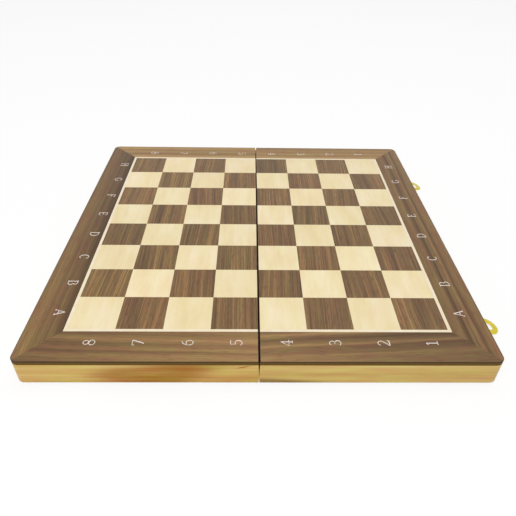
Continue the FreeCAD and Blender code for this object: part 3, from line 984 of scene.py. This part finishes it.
@dataclass(frozen=True)
class ScrewHeads:
    """Slotted screw heads on a plate: low domes, each turned its own way.

    tool_share is the breadth of the blocks that cut a head to shape, in radii.
    """

    diameter: float
    crown: float
    slot_width: float
    slot_depth: float
    seat: float = 0.05
    segments: int = 24
    rings: int = 12
    seed: int = 5
    tool_share: float = 3.0

    def build(self, name: str, body: str, places: Iterable[Vector], facing: Vector) -> None:
        """Make the heads as one piece.

        Args:
            name: Name of the piece.
            body: Body that carries it.
            places: Middle of each head on the plate's face, in metres.
            facing: Way that the heads face.
        """
        base = bpy.data.meshes.new(f"{name}_places")
        base.from_pydata(list(places), [], [])
        recipe = self.recipe(name, facing)
        piece = new_piece(name, recipe.run(base), body)
        piece.data.shade_smooth()
        piece.data.set_sharp_from_angle(angle=SHARP_ANGLE)
        LOG.info("%s: %s", name, SCREW_BRASS.name)

    def recipe(self, name: str, facing: Vector) -> Recipe:
        """Tree that makes one head and sets it on every point.

        Args:
            name: Name of the tree.
            facing: Way that the heads face.

        Returns:
            The closed recipe.
        """
        sizes = {
            "Radius": self.diameter / 2,
            "Crown": self.crown,
            "Slot Width": self.slot_width,
            "Slot Depth": self.slot_depth,
            "Seat": self.seat,
        }
        made = Recipe(name, sizes)
        tree, sockets = made.tree, made.entry.outputs
        radius, crown = sockets["Radius"], sockets["Crown"]
        ball = {"Segments": self.segments, "Rings": self.rings, "Radius": 1.0}
        sphere = add_node(tree, "GeometryNodeMeshUVSphere", ball)
        form = add_node(tree, "ShaderNodeCombineXYZ", {0: radius, 1: radius, 2: crown})
        dome = add_node(tree, "GeometryNodeTransform", {"Geometry": sphere, "Scale": form})
        # A block stands with its middle on the face that it cuts, so half of it is lost.
        half, twice = 0.5, 2.0
        breadth = add_node(tree, "ShaderNodeMath", {0: radius, 1: self.tool_share}, operation="MULTIPLY")
        bite = {0: sockets["Slot Depth"], 1: twice}
        deep = add_node(tree, "ShaderNodeMath", bite, operation="MULTIPLY")
        bar = add_node(tree, "ShaderNodeCombineXYZ", {0: breadth, 1: sockets["Slot Width"], 2: deep})
        high = add_node(tree, "ShaderNodeCombineXYZ", {2: crown})
        slot = add_node(tree, "GeometryNodeMeshCube", {"Size": bar})
        slot = add_node(tree, "GeometryNodeTransform", {"Geometry": slot, "Translation": high})
        block = add_node(tree, "ShaderNodeCombineXYZ", {0: breadth, 1: breadth, 2: breadth})
        fall = add_node(tree, "ShaderNodeMath", {0: breadth, 1: -half}, operation="MULTIPLY")
        fall = add_node(tree, "ShaderNodeMath", {0: fall, 1: sockets["Seat"]}, operation="SUBTRACT")
        low = add_node(tree, "ShaderNodeCombineXYZ", {2: fall})
        under = add_node(tree, "GeometryNodeMeshCube", {"Size": block})
        under = add_node(tree, "GeometryNodeTransform", {"Geometry": under, "Translation": low})
        cut = {"Mesh 1": dome, "Mesh 2": [slot, under]}
        head = add_node(tree, "GeometryNodeMeshBoolean", cut, operation="DIFFERENCE", solver="EXACT")
        upright = add_node(tree, "FunctionNodeAlignRotationToVector", {"Vector": facing}, axis="Z")
        spin = {"Min": 0.0, "Max": math.pi, "Seed": self.seed}
        angle = add_node(tree, "FunctionNodeRandomValue", spin, data_type="FLOAT")
        turn = add_node(tree, "FunctionNodeAxisAngleToRotation", {"Angle": angle})
        pose = {"Rotation": upright, "Rotate By": turn}
        turned = add_node(tree, "FunctionNodeRotateRotation", pose, rotation_space="LOCAL")
        copies = {"Points": sockets["Geometry"], "Instance": head, "Rotation": turned}
        made.close(add_node(tree, "GeometryNodeInstanceOnPoints", copies), SCREW_BRASS)
        return made


@dataclass(frozen=True)
class SeamFit:
    """Slight lean of the rails at the seam: they meet low down, and part above and below."""

    top_opening: float
    meeting_height: float = 8.0
    play: float = 0.005
    rim_opening: float = 0.3

    def build(self, node: Object, body: str) -> Object:
        """Make a copy of a rail that leans to the seam.

        Args:
            node: Rail of the frame.
            body: Body that carries it.

        Returns:
            The bare copy, which stands in for the rail.
        """
        shape = open_copy(node)
        whole = [*shape.verts, *shape.edges, *shape.faces]
        level = Vector((0, 0, self.meeting_height * MM))
        bmesh.ops.bisect_plane(shape, geom=whole, plane_co=level, plane_no=Vector((0, 0, 1)))
        low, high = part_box(node.name)
        for corner in shape.verts:
            if abs(corner.co.x) < BOARD.inner_x * MM + MERGE_REACH:
                away = self.away(corner.co.z, low.z, high.z)
                corner.co.x = math.copysign(away, corner.co.x)
        return stand_in(node, shape, "fitted", body)

    def away(self, height: float, rim: float, top: float) -> float:
        """How far a rail's end stands from the middle of the seam.

        Args:
            height: Height of the point in metres.
            rim: Height of the rail's rim.
            top: Height of the rail's top.

        Returns:
            The distance in metres.
        """
        meeting = self.meeting_height * MM
        edge, opening = (top, self.top_opening) if height > meeting else (rim, self.rim_opening)
        share = (height - meeting) / (edge - meeting)
        return (self.play + (opening - self.play) * share) * MM


# The rails in front gape at the top, and those at the rear stay shut.
SEAM_FITS = {
    "front": SeamFit(BOARD.inner_x),
    "hinge": SeamFit(BOARD.inner_x),
    "rear": SeamFit(SeamFit.play),
}


@dataclass(frozen=True)
class Half:
    """One tray of the board with its half of the playing surface."""

    side: Side
    borders: dict[str, BorderVeneer]
    rails: dict[str, RailPine]

    def build(self, nodes: Nodes) -> None:
        """Dress the tray, its veneers and its lining.

        Args:
            nodes: Nodes of the frame by name.
        """
        plain = {
            "panel": STAINED_EDGE,
            "felt": GREEN_FELT,
            "dark_squares": WALNUT_SQUARES,
            "light_squares": MAPLE_SQUARES,
            "line": MAPLE_LINE,
        }
        strips = {f"{place}_border": finish for place, finish in self.borders.items()}
        for part, finish in (plain | strips).items():
            finish.dress(nodes[f"{self.side.value}_{part}"])
        for place, finish in self.rails.items():
            rail = nodes[f"{self.side.value}_{place}_rail"]
            fit = SEAM_FITS.get(place)
            finish.dress(fit.build(rail, self.side.body) if fit else rail)


@dataclass(frozen=True)
class Arc:
    """Piece of an ellipse in a printed sign, in sign heights, from one angle to another in degrees."""

    middle: Spot
    reach: Spot
    start: float
    end: float
    step: float = 15.0

    def points(self) -> list[Spot]:
        """Points along the arc.

        Returns:
            Points from the start to the end.
        """
        count = math.ceil(abs(self.end - self.start) / self.step)
        angles = [math.radians(self.start + (self.end - self.start) * i / count) for i in range(count + 1)]
        (x, y), (wide, high) = self.middle, self.reach
        return [(x + wide * math.cos(a), y + high * math.sin(a)) for a in angles]


@dataclass(frozen=True)
class Stroke:
    """One stroke of a printed sign: a line through points and arcs."""

    weight: Weight
    path: tuple[Spot | Arc, ...]

    def points(self) -> list[Spot]:
        """The stroke as one row of points.

        Returns:
            Points in sign heights.
        """
        rows = [item.points() if isinstance(item, Arc) else [item] for item in self.path]
        return [point for row in rows for point in row]


def stem(*path: Spot | Arc) -> Stroke:
    """A broad stroke."""
    return Stroke(Weight.STEM, path)


def hair(*path: Spot | Arc) -> Stroke:
    """A thin stroke."""
    return Stroke(Weight.HAIR, path)


UPRIGHT = stem((0.16, 0), (0.16, 1))
ROUND = (
    hair(Arc((0.5, 0.5), (0.42, 0.5), 50, 310)),
    stem(Arc((0.5, 0.5), (0.42, 0.5), 130, 230)),
    hair((0.8, 0.98), (0.8, 0.72)),
)
TOP_ARMS = (
    hair((0, 1), (0.72, 1), (0.72, 0.8)),
    hair((0.16, 0.52), (0.52, 0.52)),
    hair((0.52, 0.62), (0.52, 0.42)),
)

# Roman capitals and old figures, one sign height tall, with the widths that the strokes need.
SIGNS: dict[str, tuple[Stroke, ...]] = {
    "A": (
        hair((0.06, 0), (0.47, 1)),
        stem((0.47, 1), (0.9, 0)),
        hair((0.2, 0.34), (0.75, 0.34)),
        hair((-0.04, 0), (0.2, 0)),
        hair((0.74, 0), (1.04, 0)),
    ),
    "B": (
        UPRIGHT,
        hair((0, 1), (0.45, 1), Arc((0.45, 0.765), (0.3, 0.235), 75, -90), (0.16, 0.53)),
        hair((0.16, 0.53), (0.48, 0.53), Arc((0.48, 0.265), (0.36, 0.265), 75, -90), (0, 0)),
        stem(Arc((0.45, 0.765), (0.3, 0.235), 45, -45)),
        stem(Arc((0.48, 0.265), (0.36, 0.265), 45, -45)),
    ),
    "C": ROUND,
    "D": (
        UPRIGHT,
        hair((0, 1), (0.42, 1), Arc((0.42, 0.5), (0.5, 0.5), 75, -90), (0, 0)),
        stem(Arc((0.42, 0.5), (0.5, 0.5), 45, -45)),
    ),
    "E": (UPRIGHT, *TOP_ARMS, hair((0, 0), (0.76, 0), (0.76, 0.22))),
    "F": (UPRIGHT, *TOP_ARMS, hair((0, 0), (0.34, 0))),
    "G": (*ROUND, stem((0.84, 0.42), (0.84, 0.06)), hair((0.68, 0.42), (0.98, 0.42))),
    "H": (
        UPRIGHT,
        stem((0.84, 0), (0.84, 1)),
        hair((0.16, 0.52), (0.84, 0.52)),
        hair((0, 0), (0.32, 0)),
        hair((0.68, 0), (1, 0)),
        hair((0, 1), (0.32, 1)),
        hair((0.68, 1), (1, 1)),
    ),
    "1": (stem((0.4, 0), (0.4, 1)), hair((0.4, 1), (0.16, 0.84)), hair((0.14, 0), (0.66, 0))),
    "2": (
        hair(Arc((0.4, 0.72), (0.3, 0.28), 160, -30), (0.08, 0)),
        stem((0.08, 0), (0.74, 0)),
        hair((0.74, 0), (0.76, 0.16)),
    ),
    "3": (
        hair(Arc((0.36, 0.765), (0.28, 0.235), 150, -80), (0.3, 0.53)),
        hair(Arc((0.36, 0.265), (0.34, 0.265), 80, -150)),
        stem(Arc((0.36, 0.265), (0.34, 0.265), 45, -45)),
    ),
    "4": (hair((0.58, 1), (0.02, 0.3), (0.86, 0.3)), stem((0.58, 1), (0.58, 0)), hair((0.4, 0), (0.76, 0))),
    "5": (
        hair((0.72, 1), (0.2, 1), (0.16, 0.55), Arc((0.36, 0.3), (0.36, 0.3), 120, -150)),
        stem(Arc((0.36, 0.3), (0.36, 0.3), 45, -45)),
    ),
    "6": (hair(Arc((0.66, 0.4), (0.56, 0.58), 95, 180)), hair(Arc((0.42, 0.31), (0.32, 0.31), 0, 360))),
    "7": (hair((0.06, 0.8), (0.06, 1), (0.74, 1)), stem((0.74, 1), (0.3, 0))),
    "8": (
        hair(
            Arc((0.42, 0.75), (0.27, 0.25), -40, 220),
            Arc((0.42, 0.26), (0.34, 0.26), 40, -220),
            (0.63, 0.59),
        ),
        stem((0.22, 0.59), (0.68, 0.43)),
    ),
}


@dataclass(frozen=True)
class Coordinates:
    """Letters and numbers printed on the border of one half, their tops turned to the middle or away."""

    side: Side
    number_height: float = 9.2
    letter_height: float = 8.5
    narrow: float = 0.83
    stroke: float = 0.95
    film: float = 0.04
    front_row: float = 170.0
    rear_row: float = 171.5
    front_drift: float = 1.9
    rear_drift: float = 1.6
    right_column: float = 171.1
    left_column: float = 167.6

    def build(self) -> None:
        """Print the half's signs as one piece of thin flat strokes."""
        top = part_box(f"{self.side.value}_front_border")[1].z
        points: list[Vector] = []
        edges: list[tuple[int, int]] = []
        weights: list[float] = []
        for sign, middle, up in self.marks():
            for stroke in SIGNS[sign]:
                row = [self.placed(sign, spot, middle, up, top) for spot in stroke.points()]
                first = len(points)
                edges += [(first + i, first + i + 1) for i in range(len(row) - 1)]
                points += row
                weights += [stroke.weight.value] * len(row)
        name = f"{self.side.value}_coordinates"
        base = bpy.data.meshes.new(f"{name}_strokes")
        base.from_pydata(points, edges, [])
        base.attributes.new("weight", "FLOAT", "POINT").data.foreach_set("value", weights)
        new_piece(name, self.recipe(name).run(base), self.side.body)
        LOG.info("%s: %s", name, PRINTED_INK.name)

    def marks(self) -> Iterable[tuple[str, Vector, Vector]]:
        """Every sign on the half with its place.

        Returns:
            Sign, middle in millimetres and the way that its top points.
        """
        leftward, rightward = Vector((-1, 0)), Vector((1, 0))
        right = self.side is Side.RIGHT
        files = BOARD.ranks // 2
        for file in range(files):
            number = str(files - file if right else files + 1 + file)
            x = self.side.sign * (BOARD.inner_x + (file + 0.5) * BOARD.square)
            yield number, Vector((x + self.front_drift, -self.front_row)), leftward
            yield number, Vector((x + self.rear_drift, self.rear_row)), rightward
        column = self.right_column if right else -self.left_column
        for rank, letter in enumerate("ABCDEFGH"):
            y = (rank + 0.5 - BOARD.ranks / 2) * BOARD.square
            yield letter, Vector((column, y)), leftward if right else rightward

    def placed(self, sign: str, spot: Spot, middle: Vector, up: Vector, top: float) -> Vector:
        """Move a point of a sign to its place on the border.

        Args:
            sign: The sign.
            spot: Point in sign heights.
            middle: Middle of the sign in millimetres.
            up: Way that its top points.
            top: Height of the border in metres.

        Returns:
            The point in metres.
        """
        columns = [x for stroke in SIGNS[sign] for x, _ in stroke.points()]
        centre = (min(columns) + max(columns)) / 2
        rightward = Vector((up.y, -up.x))
        height = self.letter_height if sign.isalpha() else self.number_height
        x, y = (spot[0] - centre) * self.narrow, spot[1] - 0.5
        flat = (middle + (rightward * x + up * y) * height) * MM
        return Vector((flat.x, flat.y, top))

    def recipe(self, name: str) -> Recipe:
        """Tree that sweeps a flat bar along every stroke.

        Args:
            name: Name of the tree.

        Returns:
            The closed recipe.
        """
        made = Recipe(name, {"Stroke": self.stroke, "Film": self.film})
        tree, sockets = made.tree, made.entry.outputs
        path = add_node(tree, "GeometryNodeMeshToCurve", {"Mesh": sockets["Geometry"]})
        level = add_node(tree, "GeometryNodeSetCurveNormal", {"Curve": path}, mode="Z_UP")
        weight = add_node(tree, "GeometryNodeInputNamedAttribute", {"Name": "weight"}, data_type="FLOAT")
        section = {"Width": sockets["Stroke"], "Height": sockets["Film"]}
        bar = add_node(tree, "GeometryNodeCurvePrimitiveQuadrilateral", section)
        sweep = {"Curve": level, "Profile Curve": bar, "Scale": weight, "Fill Caps": True}
        made.close(add_node(tree, "GeometryNodeCurveToMesh", sweep), PRINTED_INK)
        return made


@dataclass(frozen=True)
class Hinge:
    """One butt hinge: two leaves let into the rims, the pin and the screws."""

    end: End
    rounding: float = 0.12
    segments: int = 2
    screw_place: float = 5.2
    screw_spread: float = 9.0
    heads: ScrewHeads = ScrewHeads(diameter=3.4, crown=0.12, slot_width=0.6, slot_depth=0.11)

    def build(self, nodes: Nodes) -> None:
        """Round the leaves over, dress the pin and set the screws.

        Args:
            nodes: Nodes of the frame by name.
        """
        BRIGHT_BRASS.dress(nodes[f"{self.end.value}_hinge_pin"])
        for side in Side:
            leaf = f"{side.value}_{self.end.value}_hinge_leaf"
            tumble(nodes[leaf], side.body, self.rounding, self.segments)
            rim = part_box(f"{side.value}_hinge_rail")[0].z
            y = middle_of(leaf).y
            x = side.sign * self.screw_place * MM
            shift = self.screw_spread * MM
            places = [Vector((x, y + step, rim)) for step in (-shift, shift)]
            self.heads.build(f"{leaf}_screws", side.body, places, Vector((0, 0, -1)))


@dataclass(frozen=True)
class Latch:
    """One latch: the plate, pin and loop on the right wall, and the catch on the left wall."""

    end: End
    loop_rounding: float = 0.3
    plate_rounding: float = 0.15
    sheet: float = 0.8
    screw_rise: float = 7.0
    screw_spread: float = 7.2
    catch_spread: float = 10.5
    segments: int = 3
    heads: ScrewHeads = ScrewHeads(diameter=2.6, crown=0.42, slot_width=0.45, slot_depth=0.24)

    def build(self, nodes: Nodes) -> None:
        """Round the brass over and set the screws.

        Args:
            nodes: Nodes of the frame by name.
        """
        end = self.end.value
        BRIGHT_BRASS.dress(nodes[f"{end}_latch_pin"])
        tumble(nodes[f"{end}_latch_loop"], f"{end}_latch_loop", self.loop_rounding, self.segments)
        sheets = (
            ("latch_plate", Side.RIGHT),
            ("catch_plate", Side.LEFT),
            ("catch_stud", Side.LEFT),
        )
        for part, side in sheets:
            tumble(nodes[f"{end}_{part}"], side.body, self.plate_rounding, self.segments)
        pin = middle_of(f"{end}_latch_pin")
        wall = (BOARD.outer_x + self.sheet) * MM
        row = pin.z + self.screw_rise * MM
        places = [Vector((wall, pin.y + step * self.screw_spread * MM, row)) for step in (-1, 1)]
        self.heads.build(f"{end}_latch_screws", Side.RIGHT.body, places, Vector((1, 0, 0)))
        plate = middle_of(f"{end}_catch_plate")
        places = [Vector((-wall, plate.y + step * self.catch_spread * MM, plate.z)) for step in (-1, 1)]
        self.heads.build(f"{end}_catch_screws", Side.LEFT.body, places, Vector((-1, 0, 0)))


@dataclass(frozen=True)
class Lamp:
    """A soft box that points at the middle: its place and sides in metres and its power in watts."""

    name: str
    place: tuple[float, float, float]
    sides: Spot
    power: float

    def build(self) -> None:
        """Add the lamp to the scene."""
        data = bpy.data.lights.new(self.name, "AREA")
        data.shape = "RECTANGLE"
        data.size, data.size_y = self.sides
        data.energy = self.power
        lamp = bpy.data.objects.new(self.name, data)
        lamp.location = self.place
        lamp.rotation_euler = (-Vector(self.place)).to_track_quat("-Z", "Y").to_euler()
        bpy.context.scene.collection.objects.link(lamp)


@dataclass(frozen=True)
class Studio:
    """White tent round the board: floor, surround, two soft boxes and the camera."""

    floor_side: float = 8.0
    floor_colour: str = "#f2f2f2"
    floor_clear: float = 0.8
    floor_glow: float = 0.12
    surround: float = 0.5
    lens: float = 34.571
    sensor: float = 36.0
    nearest: float = 0.01
    camera_place: tuple[float, float, float] = (-0.008598, -0.441915, 0.318817)
    camera_turn: tuple[float, float, float] = (52.5945, -0.8962, -0.6586)
    lamps: tuple[Lamp, ...] = (
        Lamp("key_box", place=(-0.5, -1.1, 1.3), sides=(1.2, 0.9), power=12.0),
        Lamp("top_box", place=(0.3, 0.25, 1.6), sides=(1.4, 1.4), power=8.2),
    )

    def build(self) -> None:
        """Make the whole tent."""
        scene = bpy.context.scene
        scene.view_settings.view_transform = "Standard"
        self.make_surround(scene)
        self.make_floor(scene)
        for lamp in self.lamps:
            lamp.build()
        self.make_camera(scene)

    def seen(self, tree: NodeTree) -> Node:
        """Node that is 1 where the eye looks, straight or by way of metal.

        Args:
            tree: Tree of the surround or of the floor.

        Returns:
            Node of the factor.
        """
        path = add_node(tree, "ShaderNodeLightPath").outputs
        straight = {0: path["Is Camera Ray"], 1: path["Is Glossy Ray"]}
        mirrored = add_node(tree, "ShaderNodeMath", straight, operation="MAXIMUM")
        through = {0: mirrored, 1: path["Is Transmission Ray"]}
        return add_node(tree, "ShaderNodeMath", through, operation="MAXIMUM")

    def make_surround(self, scene: Scene) -> None:
        """White to the eye, and a plain soft light on the board.

        Args:
            scene: Scene that gets the surround.
        """
        world = bpy.data.worlds.new("white_tent")
        world.use_nodes = True
        tree = world.node_tree
        tree.nodes.clear()
        levels = {"Value": self.seen(tree), "To Min": self.surround, "To Max": 1.0}
        strength = add_node(tree, "ShaderNodeMapRange", levels)
        light = add_node(tree, "ShaderNodeBackground", {"Color": "#ffffff", "Strength": strength})
        add_node(tree, "ShaderNodeOutputWorld", {"Surface": light})
        scene.world = world

    def make_floor(self, scene: Scene) -> None:
        """Pale floor that keeps a light shadow, clear enough to show the half that folds under it.

        Args:
            scene: Scene that gets the floor.
        """
        mesh = bpy.data.meshes.new("floor")
        half = self.floor_side / 2
        corners = [(-half, -half, 0), (half, -half, 0), (half, half, 0), (-half, half, 0)]
        mesh.from_pydata(corners, [], [(0, 1, 2, 3)])
        mesh.materials.append(self.floor_paper())
        floor = bpy.data.objects.new("floor", mesh)
        scene.collection.objects.link(floor)

    def floor_paper(self) -> Material:
        """White paper, clear to the eye, that keeps a shadow.

        Returns:
            The material of the floor.
        """
        paper = bpy.data.materials.new("white_paper_floor")
        paper.use_nodes = True
        tree = paper.node_tree
        tree.nodes.clear()
        seen = self.seen(tree)
        matt = add_node(tree, "ShaderNodeBsdfDiffuse", {"Color": self.floor_colour})
        glowing = {0: seen, 1: self.floor_glow}
        strength = add_node(tree, "ShaderNodeMath", glowing, operation="MULTIPLY")
        glow = add_node(tree, "ShaderNodeEmission", {"Color": "#ffffff", "Strength": strength})
        lit = add_node(tree, "ShaderNodeAddShader", {0: matt, 1: glow})
        clear = add_node(tree, "ShaderNodeBsdfTransparent")
        share = add_node(tree, "ShaderNodeMath", {0: seen, 1: self.floor_clear}, operation="MULTIPLY")
        mixed = add_node(tree, "ShaderNodeMixShader", {0: share, 1: lit, 2: clear})
        add_node(tree, "ShaderNodeOutputMaterial", {"Surface": mixed})
        return paper

    def make_camera(self, scene: Scene) -> None:
        """Camera at the photograph's place.

        Args:
            scene: Scene that gets the camera.
        """
        data = bpy.data.cameras.new("camera")
        data.sensor_width = self.sensor
        data.lens = self.lens
        data.clip_start = self.nearest
        camera = bpy.data.objects.new("camera", data)
        camera.location = self.camera_place
        camera.rotation_euler = [math.radians(v) for v in self.camera_turn]
        scene.collection.objects.link(camera)
        scene.camera = camera


# Right half: quiet sapwood in front, with a dark wedge low beside the seam, and a brown border.
RIGHT_HALF = Half(
    Side.RIGHT,
    borders={
        "front": border(
            "right_front_border",
            Grain.ACROSS,
            seed=11.0,
            bands=(
                (0, 0.7), (4, 0.77), (7, 0.58), (12, 0.52), (14.5, 0.82),
                (17, 0.58), (21.5, 0.38), (24, 0.58), (27, 0.86), (30, 0.5),
            ),
            slope=-7.0,
            rise=-0.125,
        ),
        "rear": border(
            "right_rear_border",
            Grain.ACROSS,
            seed=37.0,
            bands=(
                (0, 0.66), (4, 0.62), (10, 0.78), (13, 0.68), (16, 0.7),
                (19, 0.88), (22, 0.72), (25, 0.74), (28, 0.92),
            ),
        ),
        "side": border(
            "right_side_border",
            Grain.ALONG,
            seed=53.0,
            bands=(
                (0, 0.54), (7, 0.5), (10.5, 0.2), (12, 0.6), (14, 0.56), (15, 0.4),
                (17, 0.48), (19, 0.12), (21, 0.3), (24, 0.54), (28, 0.44),
            ),
        ),
    },
    rails={
        "front": pine(
            "right_front_rail",
            Grain.ACROSS,
            seed=44.0,
            # This patch makes a darker wedge low on the rail beside the seam, in a darker colour than the
            # default.
            stains=(Stain(along=8, height=3.6, half_length=34, half_height=3.2, strength=0.62, slant=-4),),
            tones=PALE_PINE_TONES,
            heart="#644606",
        ),
        "rear": pine("right_rear_rail", Grain.ACROSS, seed=47.0),
        "side": pine("right_side_rail", Grain.ALONG, seed=71.0),
        "hinge": pine("right_hinge_rail", Grain.ALONG, seed=89.0),
    },
)

# Left half: brown heartwood along the front rail, and a border with dark lines and a tan streak.
LEFT_HALF = Half(
    Side.LEFT,
    borders={
        "front": border(
            "left_front_border",
            Grain.ACROSS,
            seed=23.0,
            bands=(
                (0, 0.76), (2, 0.84), (5, 0.76), (7.5, 0.56), (10, 0.84), (12.5, 0.7),
                (15.5, 0.58), (18, 0.74), (20.5, 0.92), (26, 0.62), (30, 0.66),
            ),
            slope=3.3,
            rise=0.12,
        ),
        "rear": border(
            "left_rear_border",
            Grain.ACROSS,
            seed=61.0,
            bands=(
                (0, 0.86), (5, 0.88), (8, 0.82), (11, 0.66), (14, 0.84),
                (17, 0.8), (21, 0.54), (25, 0.76), (28, 0.96),
            ),
        ),
        "side": border(
            "left_side_border",
            Grain.ALONG,
            seed=79.0,
            bands=(
                (0, 0.42), (5, 0.52), (10, 0.46), (14, 0.34), (16, 0.42),
                (20, 0.28), (24, 0.36), (28, 0.14), (32, 0.06),
            ),
            rise=-0.04,
        ),
    },
    rails={
        "front": pine(
            "left_front_rail",
            Grain.ACROSS,
            seed=17.0,
            stains=(
                Stain(along=-104, height=11, half_length=24, half_height=8, strength=0.7),
                Stain(along=-70, height=8.5, half_length=28, half_height=9, strength=0.76, slant=22),
                Stain(along=-62, height=20, half_length=34, half_height=5, strength=0.76, slant=3),
                Stain(along=-12, height=20.5, half_length=5, half_height=0.6, strength=1.0, slant=25),
            ),
        ),
        "rear": pine("left_rear_rail", Grain.ACROSS, seed=31.0),
        "side": pine("left_side_rail", Grain.ALONG, seed=5.0),
        "hinge": pine("left_hinge_rail", Grain.ALONG, seed=97.0),
    },
)


def main() -> None:
    """Build every part of the look in order."""
    logging.basicConfig(level=logging.INFO, format="%(message)s")
    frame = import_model()
    nodes: Nodes = frame["nodes"]
    for half in (RIGHT_HALF, LEFT_HALF):
        half.build(nodes)
    for side in Side:
        Coordinates(side).build()
    for end in End:
        Hinge(end).build(nodes)
        Latch(end).build(nodes)
    Studio().build()


if __name__ == "__main__":
    main()
